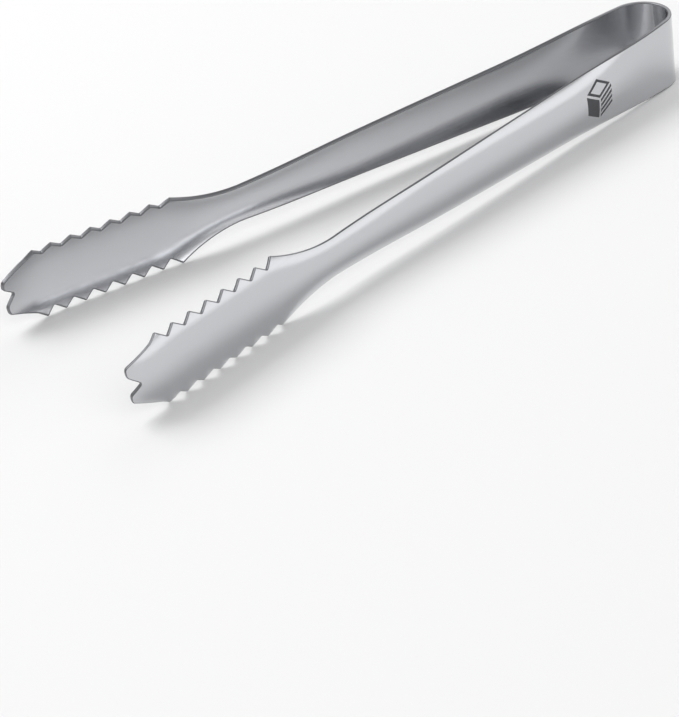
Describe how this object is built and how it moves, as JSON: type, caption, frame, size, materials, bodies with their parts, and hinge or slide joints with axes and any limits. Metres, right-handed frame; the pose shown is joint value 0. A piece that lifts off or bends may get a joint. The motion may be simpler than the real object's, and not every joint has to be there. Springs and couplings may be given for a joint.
{
  "type": "ice tongs",
  "caption": "Sprung ice tongs: a bent bow joins two trough-shaped arms that end in saw-toothed, forked and inward-curled jaws.",
  "frame": {"origin": "middle of the whole outline, at the level of the lower cut edge of the bow that the tongs rest on", "axes": "+X along the tongs from the jaws to the bow, +Y from the front arm to the rear arm, +Z across the width of the strip"},
  "size_m": [0.1796, 0.0554, 0.018],
  "materials": {
    "steel": "stainless steel sheet, polished to a soft bright lustre"
  },
  "bodies": {
    "bow": {"spring_bow": "steel"},
    "front_arm": {"front_arm": "steel", "front_jaw": "steel"},
    "rear_arm": {"rear_arm": "steel", "rear_jaw": "steel"}
  },
  "joints": [
    {"name": "front_arm_flex", "type": "hinge", "parent": "bow", "child": "front_arm", "pos_m": [0.08294, -0.00754, 0.009], "axis": [0, 0, -1], "range_deg": [-3, 8.2], "stiffness_Nm_per_rad": 6},
    {"name": "rear_arm_flex", "type": "hinge", "parent": "bow", "child": "rear_arm", "pos_m": [0.08294, 0.00754, 0.009], "axis": [0, 0, 1], "range_deg": [-3, 8.2], "stiffness_Nm_per_rad": 6}
  ],
  "couplings": [
    {"joint": "rear_arm_flex", "follows": "front_arm_flex", "ratio": 1}
  ]
}
